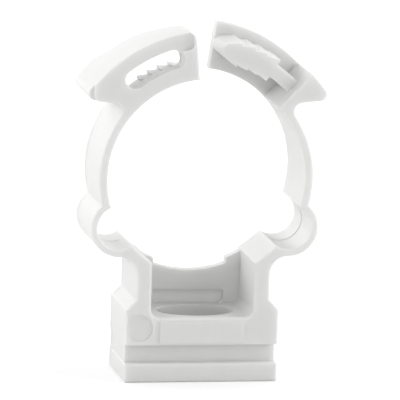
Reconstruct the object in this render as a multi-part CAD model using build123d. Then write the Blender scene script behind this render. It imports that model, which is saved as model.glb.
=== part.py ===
"""Pipe clip for a 32 mm pipe, one moulding: a screw-down foot, two sprung jaws on round
spring loops, and a ratchet closure on top that stands open as moulded.

+Z is up, the pipe runs along Y, the open side of the screw pocket faces -Y.
The origin is the middle of the underside. Sizes are in millimetres, angles in degrees.
Angles round the pipe are counted from straight up, positive towards +X.
"""

import os
from math import cos, radians, sin, sqrt, tan

from build123d import *

# Overall sizes
pipe_diameter = 32.0
pipe_clearance = 0.9  # between the pipe and the open jaws
clip_width = 15.0  # along the pipe
base_width = 26.2  # across the pipe
seat_height = 18.0  # underside to the lowest point of the pipe circle

# Jaws and spring loops
jaw_wall = 1.4
loop_radius = 3.85  # inside of the spring loop
loop_wall = 1.08
loop_angle = 120.1  # where the loops sit round the pipe
loop_inset = 0.14  # loop centres lie this far inside the pipe circle

# Foot
flange_height = 3.2
groove_height = 3.2
groove_depth = 1.8
block_top = 12.4
neck_step = 1.7  # the neck is this much narrower than the base on each side
neck_wall = 2.6
slope_radius = 0.4  # corners of the slope between block and neck
heel = 0.2  # lower corners of the block, cut back to the web above the flange
edge_break = 0.2  # chamfer on the outline's edges, front and back

# Screw pocket
pocket_floor = 11.0
pocket_corner = 1.5
pocket_back = 2.1  # wall behind the pocket
lip_radius = 0.5  # front edge of the pocket
seat_relief = 0.3  # the wall's top stays this far below the pipe circle
notch_half = 6.3  # half width of the deeper notch in the wall's top
notch_depth = 1.2
head_length = 13.2  # oval room for the screw head
head_width = 9.6
head_wall = 1.2  # left between the screw head and the groove
slot_length = 9.0  # oblong hole for the screw
slot_width = 5.2
oval_shift = 0.55  # the oval sits this far behind the middle of the pocket
recess_half = 6.0  # shallow recess in the wall behind the screw head
recess_height = 2.4
recess_depth = 1.0
recess_corner = 1.1
recess_top_corner = 0.45

# Witness marks on the front of the foot
pad_radius = 2.33
pad_inset = 2.35  # pad centre from the side of the base
pad_drop = 3.1  # pad centre below the top of the block
field_half = 7.15
field_height = 3.6
field_drop = 3.85  # field centre below the top of the block
mark_depth = 0.2

# Closure
closure_rise = 8.1  # the blocks stand this far out from the pipe circle
shoulder_angle = 45.0  # both blocks are full width beyond this angle
left_mouth = 5.5
right_mouth = 7.8
mouth_radius = 1.3  # outer corner of the left block's mouth
ear_angle = 57.6
ear_slope = 6.0  # rise of the ear's underside
ear_tip_radius = 1.1
ear_root_radius = 1.5

# Left block: front wall with a window, thin outer wall, toothed bar standing free behind
front_wall = 3.0
block_gap = 0.6  # left block to the right block's plate when shut
ramp_length = 3.5  # slope at the back, from the full width down to the block
lead_angle = 28.0  # from here to the mouth the block's back slopes forward, a lead-in for the plate
lead_depth = 4.3
window_start = 13.0
window_end = 41.2
window_sill = 2.65  # front wall below the window
window_head = 2.3  # front wall above the window
window_radius = 1.45
window_flare = 0.5  # slope at the window's mouth end, this far along and deep
outer_wall = 0.9
cavity_wall = 2.0  # angle between the cavity's end and the shoulder
bar_wall = 1.7
bar_gap = 2.6  # between the front wall and the bar
bar_width = 4.4
bar_root_angle = 11.0  # the bar stands free beyond this angle
bar_end_gap = 2.5  # angle between the bar's end and the cavity's end
band_width = 2.9  # sunk band along the outer edge of the front wall
band_depth = 0.8  # at the middle of the clip
band_run = 16.0  # from the middle of the clip to where the band has run out
band_radius = 1.25  # round end at the mouth
band_mouth_gap = 1.0  # angle between the band's end and the mouth
band_rise = 0.15  # the band's outer edge passes this far over the block
strip_width = 1.7  # lower strip at the tip of the left ear
strip_depth = 1.2
strip_radius = 1.0

# Ratchet teeth, the same spacing on both racks and on the tongue
tooth_count = 4
tooth_pitch = 5.72
tooth_undercut = 0.35
tooth_height = 0.6
tooth_nose = 1.1  # round front end of the teeth on the bar

# Tongue on the right block
plate_wall = 2.5
tongue_gap = 0.5  # behind the left block's front wall when shut
barb_bite = 0.13  # the lower barbs reach this far past the lower rack's tips
barb_play = 0.1  # between the upper barbs and the upper rack's tips
barb_inner_height = 0.38
barb_outer_height = 0.55
neck_inner_step = 0.93  # the tongue's neck stands back from the barb tips
neck_outer_step = 1.0
nose_angle = 7.4
nose_length = 8.4  # angle from the tip of the nose to the first barbs
nose_inner_step = 1.13  # the nose's ends stand back from the barb tips
nose_outer_step = 0.65
nose_inner_angle = 1.9  # and lie this far behind the tip of the nose
nose_outer_angle = 2.4
nose_lean = 0.375  # the tip lies this far below the middle of the nose
tongue_edge = 0.15

# How far cuts run past the material, and fused pieces reach into each other
past = 5.0
reach = 0.2

# Sizes that follow
front = -clip_width / 2
back = clip_width / 2
ring_radius = pipe_diameter / 2 + pipe_clearance
ring_z = seat_height + ring_radius
outer_radius = ring_radius + closure_rise
loop_x = (ring_radius - loop_inset) * sin(radians(loop_angle))
loop_z = ring_z + (ring_radius - loop_inset) * cos(radians(loop_angle))
loop_outer = loop_radius + loop_wall
base_half = base_width / 2
neck_half = base_half - neck_step
pocket_half = neck_half - neck_wall
groove_top = flange_height + groove_height
head_floor = groove_top + head_wall
wall_front = back - pocket_back
oval_y = (front + wall_front) / 2 + oval_shift
plate_front = back - plate_wall
block_back = plate_front - block_gap
front_wall_back = front + front_wall
bar_front = front_wall_back + bar_gap
bar_back = bar_front + bar_width
tongue_front = front_wall_back + tongue_gap
cavity_end = shoulder_angle - cavity_wall
bar_top = ring_radius + bar_wall
rack_roof = outer_radius - outer_wall
barb_inner = bar_top + tooth_height - barb_bite
barb_outer = rack_roof - tooth_height - barb_play
neck_inner = barb_inner + neck_inner_step
neck_outer = barb_outer - neck_outer_step


def at(radius, angle):
    """Point in the front view, by distance from the pipe's axis and angle from straight up."""
    return (radius * sin(radians(angle)), ring_z + radius * cos(radians(angle)))


def disc(radius, x=0.0, z=ring_z):
    return Pos(x, z) * Circle(radius)


def sector(inner, outer, start, end):
    """Piece of a ring round the pipe's axis between two radii and two angles."""
    arc_out = CenterArc((0, ring_z), outer, 90 - end, end - start)
    arc_in = CenterArc((0, ring_z), inner, 90 - end, end - start)
    return make_face([arc_out, arc_in, Line(arc_out @ 0, arc_in @ 0), Line(arc_out @ 1, arc_in @ 1)])


def closing_zone(start, end):
    """Everything round the closure between two angles."""
    return sector(ring_radius - past, outer_radius + past, start, end)


def slab(face, near, far):
    """Face of the front view made solid from y = near to y = far."""
    return extrude(Plane.XZ.offset(-far) * face, amount=far - near, dir=(0, -1, 0))


def upright(points):
    """Outline of the top view, made solid upwards from the height of the pipe's axis."""
    return Pos(0, 0, ring_z) * extrude(Polygon(*points, align=None), outer_radius + past)


def rounded(face, spots):
    """Rounds the corners of a face that lie nearest to the given spots."""
    for x, z, radius in spots:
        face = fillet(face.vertices().sort_by_distance((x, z, 0))[0], radius)
    return face


def both_sides(x, z, radius):
    return [(x, z, radius), (-x, z, radius)]


def ear_line(x):
    """Height of the ear's underside at a distance from the middle."""
    tip_x, tip_z = at(outer_radius, ear_angle)
    return tip_z - (tip_x - x) * tan(radians(ear_slope))


def block_outline(mouth):
    """Right-hand closure block with its ear, in the front view."""
    far = outer_radius + past
    near = ring_radius / 2
    limits = Polygon(
        (near, ear_line(near)), (far, ear_line(far)), (far, ring_z + far),
        at(far, mouth), at(ring_radius - past, mouth), align=None,
    )
    return disc(outer_radius) & limits


def clip_outline():
    """Whole clip above the groove in the front view, with the screw pocket still filled."""
    foot = Polygon(
        (heel - base_half, groove_top), (base_half - heel, groove_top),
        (base_half, groove_top + heel), (base_half, block_top),
        (neck_half, block_top + neck_step), (neck_half, loop_z), (-neck_half, loop_z),
        (-neck_half, block_top + neck_step), (-base_half, block_top),
        (-base_half, groove_top + heel), align=None,
    )
    jaw = ring_radius + jaw_wall
    face = sector(ring_radius - 1, jaw, -loop_angle, loop_angle) + foot
    face += block_outline(right_mouth) + mirror(block_outline(left_mouth), Plane.YZ)
    face -= closing_zone(-left_mouth, right_mouth)

    # spring loops, each joined to the neck by a hollow bend
    bend = loop_x - neck_half
    bend_z = loop_z - loop_outer - bend
    for side in (-1, 1):
        web = Pos(side * (neck_half + loop_x) / 2, (bend_z + loop_z) / 2) * Rectangle(bend, loop_z - bend_z)
        face += web - disc(bend, side * loop_x, bend_z) + disc(loop_outer, side * loop_x, loop_z)
    face -= disc(ring_radius)
    for side in (-1, 1):
        face -= disc(loop_radius, side * loop_x, loop_z)

    # where the ear's underside meets the outside of the jaw
    rise, drop = tan(radians(ear_slope)), ear_line(0) - ring_z
    root_x = (sqrt((1 + rise**2) * jaw**2 - drop**2) - rise * drop) / (1 + rise**2)
    spots = both_sides(*at(outer_radius, ear_angle), ear_tip_radius)
    spots += both_sides(root_x, ear_line(root_x), ear_root_radius)
    spots += both_sides(neck_half, block_top + neck_step, slope_radius)
    spots += both_sides(base_half, block_top, slope_radius)
    spots.append((*at(outer_radius, -left_mouth), mouth_radius))
    return rounded(face, spots)


def jaws(outline):
    """Foot, loops, jaws and ears at full width, the right block's plate, the left front wall."""
    part = slab(outline - closing_zone(-shoulder_angle, shoulder_angle), front, back)
    part += slab(outline & closing_zone(0, shoulder_angle), plate_front, back)
    return part + slab(outline & closing_zone(-shoulder_angle, 0), front, front_wall_back)


def soft_edges(part):
    """Rounds the front edge of the pocket and breaks the other edges, front and back."""
    mouth = part.edges().group_by(Axis.Y)[0].filter_by_position(Axis.Z, pocket_floor - reach, loop_z)
    mouth = mouth.filter_by_position(Axis.X, -pocket_half - reach, pocket_half + reach)
    part = fillet(mouth, lip_radius)
    layers = part.edges().group_by(Axis.Y)
    rims = (layers[0] + layers[-1]).filter_by_position(Axis.Z, groove_top + reach, 3 * ring_z)
    return chamfer(rims, edge_break)


def tooth(radius, height, sink, place):
    """One ratchet tooth on the left block, steep side away from the mouth."""
    start = bar_root_angle + place * tooth_pitch
    end = start + tooth_pitch
    return Polygon(
        at(radius + height, -end), at(radius - sink, -end - tooth_undercut),
        at(radius - sink, -start - tooth_undercut), align=None,
    )


def bar_tooth(place):
    """Tooth on the free bar, its steep side rounded off at the front."""
    part = slab(tooth(bar_top, tooth_height, reach, place), bar_front, bar_back)
    steep = part.faces().sort_by(Axis.Y)[0].edges().sort_by(Axis.X)[0]
    return fillet(steep, tooth_nose)


def ramp(shell):
    """Slope at the back of the left block, from the full width down to the block's own back."""
    turn = radians(shoulder_angle)
    across = Plane((0, 0, ring_z), x_dir=(cos(turn), 0, sin(turn)), z_dir=(-sin(turn), 0, cos(turn)))
    wedge = Polygon((0, block_back - reach), (ramp_length, block_back - reach), (0, back), align=None)
    return slab(shell, block_back - reach, back) & extrude(across * wedge, outer_radius + past)


def lead_in():
    """What the left block's back loses towards the mouth."""
    start, end = at(outer_radius, -lead_angle)[0], at(outer_radius, -left_mouth)[0]
    return upright([
        (start, block_back), (end, block_back - lead_depth), (0, block_back - lead_depth),
        (0, back + past), (start, back + past),
    ])


def rack(outline):
    """Behind the left front wall: thin outer wall, closed end and the toothed bar standing free."""
    zone = outline & closing_zone(-shoulder_angle, 0)
    shell = (zone - disc(rack_roof)) + (zone & closing_zone(-shoulder_angle, -cavity_end))
    part = ramp(shell)
    for place in range(tooth_count):
        shell += tooth(rack_roof, -tooth_height, -reach, place)
    part += slab(shell, front_wall_back, block_back) - lead_in()
    bar = sector(ring_radius, bar_top, bar_end_gap - cavity_end, -left_mouth)
    part += slab(bar, bar_front, bar_back)
    for place in range(tooth_count):
        part += bar_tooth(place)
    link = sector(ring_radius, bar_top, -bar_root_angle, -left_mouth)
    return part + slab(link, front_wall_back, bar_back)


def window_outline():
    inner, outer = ring_radius + window_sill, outer_radius - window_head
    face = sector(inner, outer, -window_end, -window_start)
    return fillet(face.vertices(), min(window_radius, 0.48 * (outer - inner)))


def window():
    """Window in the left front wall, its end towards the mouth sloped open at the front."""
    face = window_outline()
    turn = radians(window_start)
    along = Vector(cos(turn), -1, sin(turn))
    deep = Plane.XZ.offset(-front - window_flare) * face
    slope = extrude(deep, 2 * window_flare * along.length, dir=along.normalized())
    return slope + slab(face, front - past, front_wall_back + reach)


def band():
    """Sunk band along the outer edge of the left front wall, running out towards the ear."""
    inner, outer, far = outer_radius - band_width, outer_radius + band_rise, outer_radius + past
    end = -left_mouth - band_mouth_gap
    corners = [(*at(inner, end), band_radius), (*at(outer, end), band_radius)]
    face = rounded(sector(inner, outer, -90, end), corners)
    return slab(face, front - past, front + band_depth) & upright([
        (-far, front - past), (0, front - past), (0, front + band_depth), (-band_run, front), (-far, front),
    ])


def ear_strip():
    """Lower strip at the tip of the left ear."""
    x = at(outer_radius, ear_angle)[0] - strip_width
    low = ear_line(x)
    corner = Polygon(
        (-x, low), (-x + 2 * strip_radius, ear_line(x - 2 * strip_radius)),
        (-x + 2 * strip_radius, ring_z + outer_radius), (-x, ring_z + outer_radius), align=None,
    )
    face = Polygon(
        (-x - past, low - past), (-x + strip_radius, low - past), (-x + strip_radius, ring_z + outer_radius),
        (-x - past, ring_z + outer_radius), align=None,
    )
    return slab(face - rounded(corner, [(-x, low, strip_radius)]), front - past, front + strip_depth)


def tongue_outline():
    """Barbed tongue in the front view: round nose, barbs on both edges, narrower neck."""
    steps = [nose_angle + nose_length + i * tooth_pitch for i in range(tooth_count)]
    neck_end = steps[-1] + tooth_undercut
    lower = [at(neck_inner, neck_end)]
    upper = []
    for angle in reversed(steps):
        lower.append(at(barb_inner, angle))
        lower.append(at(barb_inner + barb_inner_height, angle - tooth_pitch + tooth_undercut))
    for angle in steps:
        upper.append(at(barb_outer - barb_outer_height, angle - tooth_pitch + tooth_undercut))
        upper.append(at(barb_outer, angle))
    upper.append(at(neck_outer, neck_end))
    nose_inner, nose_outer = barb_inner + nose_inner_step, barb_outer - nose_outer_step
    lower[-1] = at(nose_inner, nose_angle + nose_inner_angle)
    upper[0] = at(nose_outer, nose_angle + nose_outer_angle)
    tip = at((nose_inner + nose_outer) / 2 - nose_lean, nose_angle)
    head = make_face([
        Polyline(*lower), ThreePointArc(lower[-1], tip, upper[0]), Polyline(*upper), Line(upper[-1], lower[0]),
    ])
    return head + sector(neck_inner, neck_outer, steps[-1], shoulder_angle + cavity_wall)


def tongue():
    """Tongue standing on the right block's plate, the front edges of its head broken."""
    part = slab(tongue_outline(), tongue_front, plate_front + reach)
    head_end = at(neck_outer, nose_angle + nose_length + (tooth_count - 1) * tooth_pitch)[0]
    edges = part.faces().sort_by(Axis.Y)[0].edges().filter_by_position(Axis.X, 0, head_end)
    return fillet(edges, tongue_edge)


def foot_below():
    """Flange and the narrower web behind the groove."""
    on_floor = (Align.CENTER, Align.CENTER, Align.MIN)
    web = Box(base_width - 2 * heel, clip_width - groove_depth, groove_top, align=on_floor)
    flange = Box(base_width, clip_width, flange_height, align=on_floor)
    return Pos(0, groove_depth / 2) * web + chamfer(flange.edges(), edge_break)


def pocket():
    """What is taken out above the foot: the screw pocket, the wall's notches, the recess."""
    height = ring_z - pocket_floor
    opening = Pos(0, pocket_floor + height / 2) * Rectangle(2 * pocket_half, height)
    opening = fillet(opening.vertices().sort_by(Axis.Y)[:2], pocket_corner)
    for side in (-1, 1):
        opening -= disc(loop_outer, side * loop_x, loop_z)
    cut = slab(opening, front - past, wall_front)
    for half, depth in ((pocket_half, seat_relief), (notch_half, notch_depth)):
        across = Pos(0, ring_z / 2) * Rectangle(2 * half, ring_z)
        cut += slab(disc(ring_radius + depth) & across, wall_front - reach, back + past)
    recess = Pos(0, pocket_floor + recess_height / 2) * Rectangle(2 * recess_half, recess_height)
    recess = fillet(recess.vertices().sort_by(Axis.Y)[:2], recess_corner)
    recess = fillet(recess.vertices().sort_by(Axis.Y)[-2:], recess_top_corner)
    return cut + slab(recess, wall_front - reach, wall_front + recess_depth)


def screw_hole():
    """Oval room for the screw head over an oblong through hole."""
    head = extrude(Ellipse(head_length / 2, head_width / 2), pocket_floor + reach - head_floor)
    slot = extrude(SlotOverall(slot_length, slot_width), head_floor + past)
    return Pos(0, oval_y, head_floor) * head + Pos(0, oval_y, -past + reach) * slot


def clip():
    outline = clip_outline()
    part = soft_edges(jaws(outline) - pocket())
    part += foot_below() + tongue()
    part += rack(outline)
    part -= window()
    part -= screw_hole()
    part = part - band() - ear_strip()

    # witness marks: a sunk pad and a raised field on the front of the block
    pad = disc(pad_radius, pad_inset - base_half, block_top - pad_drop)
    part -= slab(pad, front - past, front + mark_depth)
    field = Pos(0, block_top - field_drop) * Rectangle(2 * field_half, field_height)
    return part + slab(field, front - mark_depth, front)


os.makedirs("parts", exist_ok=True)
export_step(clip(), "parts/clip_body.step")
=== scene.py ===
"""Pipe clip in white moulded plastic, on a pale floor under soft studio light."""

from math import cos, radians, sin

import bpy
import numpy as np
from mathutils import Matrix, Vector


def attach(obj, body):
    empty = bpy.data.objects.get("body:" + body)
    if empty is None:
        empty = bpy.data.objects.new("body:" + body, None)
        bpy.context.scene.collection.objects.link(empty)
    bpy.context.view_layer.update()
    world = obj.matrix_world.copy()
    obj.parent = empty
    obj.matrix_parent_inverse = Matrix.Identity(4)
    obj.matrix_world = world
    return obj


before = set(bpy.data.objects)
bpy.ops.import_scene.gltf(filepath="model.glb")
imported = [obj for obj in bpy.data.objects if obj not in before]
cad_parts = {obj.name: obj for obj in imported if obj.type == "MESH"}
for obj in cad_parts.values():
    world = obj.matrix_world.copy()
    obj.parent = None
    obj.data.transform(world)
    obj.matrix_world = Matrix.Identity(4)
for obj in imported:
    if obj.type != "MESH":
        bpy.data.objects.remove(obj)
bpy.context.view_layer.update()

MM = 0.001

# Camera, fitted to the photograph
camera_azimuth = 11.24
camera_elevation = 10.38
camera_roll = 1.77  # the clip leans to the right in the picture
camera_distance = 1000 * MM
camera_target = Vector((0.442 * MM, 0, 29.877 * MM))
camera_lens = 531.82
camera_sensor = 36.0

# Light
sky_light = 0.5  # what the surroundings give, against a background of 1
lamp_distance = 1.1
lamp_width = 0.9
lamps = {  # direction from the clip, power
    "left": ((-1.0, -0.35, 0.18), 3.2),
    "left_back": ((-0.8, 0.5, 0.4), 3.2),
    "front": ((-0.2, -1.0, 0.25), 1.0),
    "right_front": ((0.8, -0.7, 0.3), 2.2),
    "right_up": ((0.85, -0.1, 0.6), 4.4),
    "right_back": ((0.8, 0.6, 0.4), 1.8),
    "back": ((-0.3, 1.0, 0.15), 2.6),
    "back_up": ((0.0, 0.8, 0.7), 1.6),
}

# Floor
floor_radius = 4.0
floor_z = -0.02 * MM  # clear of the clip's underside
floor_rings = 24
floor_spokes = 64
floor_colour = (0.8, 0.8, 0.8, 1)
floor_lift = 0.3  # brings the floor up to white in the picture, its shadow kept

# Skin of the plastic, from three noises with cells per metre as their scale
grain_noise = {"Scale": 5200.0, "Detail": 3.0, "Roughness": 0.6}
wave_noise = {"Scale": 160.0, "Detail": 2.0}
mottle_noise = {"Scale": 420.0, "Detail": 4.0, "Roughness": 0.55}
noise_mean = 0.5
mottle_stops = [(0.3, (0.748, 0.748, 0.741, 1)), (0.7, (0.764, 0.764, 0.757, 1))]
grain_height = 0.35
wave_height = 0.4
relief = {"Strength": 0.12, "Distance": 0.04 * MM}
mean_roughness = 0.5
mottle_roughness = 0.12
grain_roughness = 0.06
plastic = {
    "IOR": 1.49,
    "Specular IOR Level": 0.3,
    "Subsurface Scale": 1.5 * MM,
    "Subsurface Radius": (1.0, 1.0, 1.0),
}
body_glow = 0.8  # how much light enters the plastic
seam_glow = 0.0

# Seams where the mould's halves met, fine raised lines on the skin, for the left side.
# Sizes are in mm and angles in degrees from +X; centres and radii are those of the CAD
outer_seam = {"depth": 5.9, "half_width": 0.08, "height": 0.04}
loop_seam = {"depth": 1.0, "half_width": 0.1, "height": 0.1}
seam_fade = 0.06  # share of a run over which a seam dies away at each end
seam_tip = 0.1  # share of its section that a seam keeps at its very ends
seam_sides = 10
corner_gap = 0.3  # seams stop this far from the corners of the slope
jaw_centre, jaw_radius, jaw_span = (0, 34.9), 18.3, (148, 193.5)
loop_centre = (-14.5, 26.495)
loop_outer, loop_outer_span = 4.93, (134, 269)
loop_inner, loop_inner_span = 3.85, (123, 297)
bend_centre, bend_radius, bend_span = (-14.5, 18.465), 3.1, (90, 1)  # from the loop into the neck
neck_x, neck_foot = -11.4, 14.1
base_x, base_top, base_end = -13.1, 12.4, 0.4


class Wire:
    """A socket that takes part in Python sums: each operator adds the Math node that it stands for."""

    def __init__(self, sheet, socket):
        self.sheet, self.socket = sheet, socket

    def _sum(self, operation, first, second):
        return self.sheet.node("ShaderNodeMath", {"operation": operation}, {0: first, 1: second})

    def __add__(self, other):
        return self._sum("ADD", self, other)

    def __sub__(self, other):
        return self._sum("SUBTRACT", self, other)

    def __rsub__(self, other):
        return self._sum("SUBTRACT", other, self)

    def __mul__(self, other):
        return self._sum("MULTIPLY", self, other)

    __radd__ = __add__
    __rmul__ = __mul__


class Finish:
    """A node tree with one way to add a node: its type, its settings, then its sockets' values or links."""

    def __init__(self, owner):
        owner.use_nodes = True
        self.tree = owner.node_tree
        self.tree.nodes.clear()

    def node(self, kind, settings=None, inputs=None, out=0):
        new = self.tree.nodes.new(kind)
        for name, value in (settings or {}).items():
            if name == "stops":
                for stop, (place, colour) in zip(new.color_ramp.elements, value):
                    stop.position, stop.color = place, colour
            else:
                setattr(new, name, value)
        for name, value in (inputs or {}).items():
            if isinstance(value, Wire):
                self.tree.links.new(value.socket, new.inputs[name])
            else:
                new.inputs[name].default_value = value
        return Wire(self, new.outputs[out]) if new.outputs else None

    def seen_directly(self):
        """1 for rays from the camera, from gloss and through glass, 0 for rays that gather light."""
        camera, gloss, glass = (
            self.node("ShaderNodeLightPath", out=f"Is {kind} Ray")
            for kind in ("Camera", "Glossy", "Transmission")
        )
        return self.node("ShaderNodeClamp", {}, {"Value": camera + gloss + glass})


def white_moulding(name, glow):
    """White satin plastic: faint mottling, a fine spark-eroded grain and a slow waviness of the skin. Light
    enters it, and glow is how much of it: none on a seam, which is too thin to pass light on."""
    material = bpy.data.materials.new(name)
    sheet = Finish(material)
    place = sheet.node("ShaderNodeTexCoord", out="Object")
    grain, waves, mottle = (
        sheet.node("ShaderNodeTexNoise", {}, {"Vector": place, **noise})
        for noise in (grain_noise, wave_noise, mottle_noise)
    )
    colour = sheet.node("ShaderNodeValToRGB", {"stops": mottle_stops}, {"Fac": mottle})
    height = grain * grain_height + waves * wave_height
    roughness = (
        mean_roughness + (mottle - noise_mean) * mottle_roughness + (grain - noise_mean) * grain_roughness
    )
    skin = sheet.node("ShaderNodeBsdfPrincipled", {}, {
        "Base Color": colour,
        "Roughness": roughness,
        "Normal": sheet.node("ShaderNodeBump", {}, {"Height": height, **relief}),
        "Subsurface Weight": glow,
        **plastic,
    })
    sheet.node("ShaderNodeOutputMaterial", {}, {"Surface": skin})
    return material


def arc(centre, radius, span, count, facing=1):
    """Points of a circle from one angle to another, each with the direction out of the circle, or into it
    where facing is -1."""
    turn = np.radians(np.linspace(*span, count))
    spoke = np.stack([np.cos(turn), np.sin(turn)], -1)
    return np.array(centre) + radius * spoke, facing * spoke


def straight(start, stop, count):
    """Points of a straight run, each with the direction square to the run, on its right-hand side."""
    step = np.subtract(stop, start)
    side = np.array([step[1], -step[0]]) / np.hypot(*step)
    return start + np.linspace(0, 1, count)[:, None] * step, np.tile(side, (count, 1))


def joined(*runs):
    """Runs that follow each other smoothly, as one: points, then directions."""
    return tuple(np.concatenate(part) for part in zip(*runs))


def seam_rings(run, depth, half_width, height):
    """An ellipse at each point of a path in (x, z), half of it sunk: sines go along the path's outward
    direction and cosines along y, and both shrink to the path's ends. The rings run so that their quads face
    outward."""
    points, outward = run
    along = np.linspace(0, 1, len(points))
    fade = np.clip(np.minimum(along, 1 - along) / seam_fade, seam_tip, 1)[:, None]
    turn = np.linspace(0, 2 * np.pi, seam_sides, False)
    rise = height * fade * np.sin(turn)
    across = depth + half_width * fade * np.cos(turn)
    x, z = (points[:, [axis]] + outward[:, [axis]] * rise for axis in (0, 1))
    rings = np.stack([x, across, z], -1)
    ahead = points[1] - points[0]
    return rings if ahead[0] * outward[0, 1] > ahead[1] * outward[0, 0] else rings[:, ::-1]


def tube_faces(count, first):
    """Quads between neighbouring rings of points, and one face to close each end."""
    spot = first + np.arange(count * seam_sides).reshape(count, seam_sides)
    beside = np.roll(spot, -1, 1)
    quads = np.stack([spot[:-1], beside[:-1], beside[1:], spot[1:]], -1).reshape(-1, 4)
    return quads.tolist() + [spot[0, ::-1].tolist(), spot[-1].tolist()]


def mould_seam(name, runs, section):
    """A seam on both sides of the clip: each run's rings as they are, and with x turned about for the other
    side."""
    points, faces = np.empty((0, 3)), []
    for run in runs:
        for mirror in ((1, 1), (-1, 1)):
            rings = seam_rings([part * mirror for part in run], **section)
            faces += tube_faces(len(rings), len(points))
            points = np.concatenate([points, rings.reshape(-1, 3)])
    mesh = bpy.data.meshes.new(name)
    mesh.from_pydata((points * MM).tolist(), [], faces)
    mesh.shade_smooth()
    seam = bpy.data.objects.new(name, mesh)
    bpy.context.scene.collection.objects.link(seam)
    return seam


def disc_floor():
    """Flat floor as a polar grid about its middle: ring i lies at (i / rings) squared of the radius, so cells
    are finest in the middle."""
    share = np.linspace(0, 1, floor_rings + 1)[1:, None] ** 2
    turn = np.linspace(0, 2 * np.pi, floor_spokes, False)
    x, y = floor_radius * share * np.cos(turn), floor_radius * share * np.sin(turn)
    points = np.stack([x, y, np.full_like(x, floor_z)], -1).reshape(-1, 3)
    points = np.concatenate([[[0, 0, floor_z]], points])
    spoke = np.arange(floor_spokes)
    after = (spoke + 1) % floor_spokes
    middle = np.stack([np.zeros_like(spoke), 1 + spoke, 1 + after], -1)
    inner = (1 + floor_spokes * np.arange(floor_rings - 1))[:, None]
    outer = inner + floor_spokes
    quads = np.stack([inner + spoke, outer + spoke, outer + after, inner + after], -1).reshape(-1, 4)
    mesh = bpy.data.meshes.new("floor")
    mesh.from_pydata(points.tolist(), [], middle.tolist() + quads.tolist())
    floor = bpy.data.objects.new("floor", mesh)
    bpy.context.scene.collection.objects.link(floor)
    return floor


def pale_floor():
    """Matt white paint, with the lift for rays that see the floor directly."""
    material = bpy.data.materials.new("pale_floor")
    sheet = Finish(material)
    paint = sheet.node("ShaderNodeBsdfDiffuse", {}, {"Color": floor_colour})
    lift = sheet.node("ShaderNodeEmission", {}, {"Strength": sheet.seen_directly() * floor_lift})
    both = sheet.node("ShaderNodeAddShader", {}, {0: paint, 1: lift})
    sheet.node("ShaderNodeOutputMaterial", {}, {"Surface": both})
    return material


def studio():
    """Even white surroundings, dimmer as light than as background, and broad soft lamps all round."""
    world = bpy.data.worlds.new("surroundings")
    bpy.context.scene.world = world
    sheet = Finish(world)
    strength = sky_light + sheet.seen_directly() * (1 - sky_light)
    light = sheet.node("ShaderNodeBackground", {}, {"Color": (1, 1, 1, 1), "Strength": strength})
    sheet.node("ShaderNodeOutputWorld", {}, {"Surface": light})

    for name, (direction, power) in lamps.items():
        light = bpy.data.lights.new(name, "AREA")
        light.shape, light.size, light.energy = "DISK", lamp_width, power
        lamp = bpy.data.objects.new(name, light)
        lamp.location = Vector(direction).normalized() * lamp_distance
        lamp.rotation_euler = (-Vector(direction)).to_track_quat("-Z", "Y").to_euler()
        bpy.context.scene.collection.objects.link(lamp)


def photo_camera():
    """Camera on the fitted line of sight, turned about that line by the picture's lean."""
    az, el, roll = radians(camera_azimuth), radians(camera_elevation), radians(camera_roll)
    back = Vector((-sin(az) * cos(el), -cos(az) * cos(el), sin(el)))
    level = Vector((0, 0, 1)).cross(back).normalized()
    up = back.cross(level)
    right = level * cos(roll) + up * sin(roll)
    up = back.cross(right)
    lens = bpy.data.cameras.new("camera")
    lens.lens, lens.sensor_width = camera_lens, camera_sensor
    camera = bpy.data.objects.new("camera", lens)
    facing = Matrix((right, up, back)).transposed().to_4x4()
    camera.matrix_world = Matrix.Translation(camera_target + back * camera_distance) @ facing
    bpy.context.scene.collection.objects.link(camera)
    bpy.context.scene.camera = camera


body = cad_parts["clip_body"]
body.data.materials.clear()
body.data.materials.append(white_moulding("white_moulding", body_glow))

outside = [
    arc(jaw_centre, jaw_radius, jaw_span, count=64),
    joined(
        arc(loop_centre, loop_outer, loop_outer_span, count=64),
        arc(bend_centre, bend_radius, bend_span, count=32, facing=-1),
        straight((neck_x, bend_centre[1]), (neck_x, neck_foot + corner_gap), count=12),
    ),
    straight(
        (neck_x - corner_gap, neck_foot - corner_gap), (base_x + corner_gap, base_top + corner_gap), count=12,
    ),
    straight((base_x, base_top - corner_gap), (base_x, base_end), count=24),
]
inside = [arc(loop_centre, loop_inner, loop_inner_span, count=72, facing=-1)]
seam_skin = white_moulding("white_seam", seam_glow)
for seam in (mould_seam("outer_seam", outside, outer_seam), mould_seam("loop_seam", inside, loop_seam)):
    seam.data.materials.append(seam_skin)
    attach(seam, "root")

floor = disc_floor()
floor.data.materials.append(pale_floor())
studio()
photo_camera()
bpy.context.scene.view_settings.view_transform = "Standard"
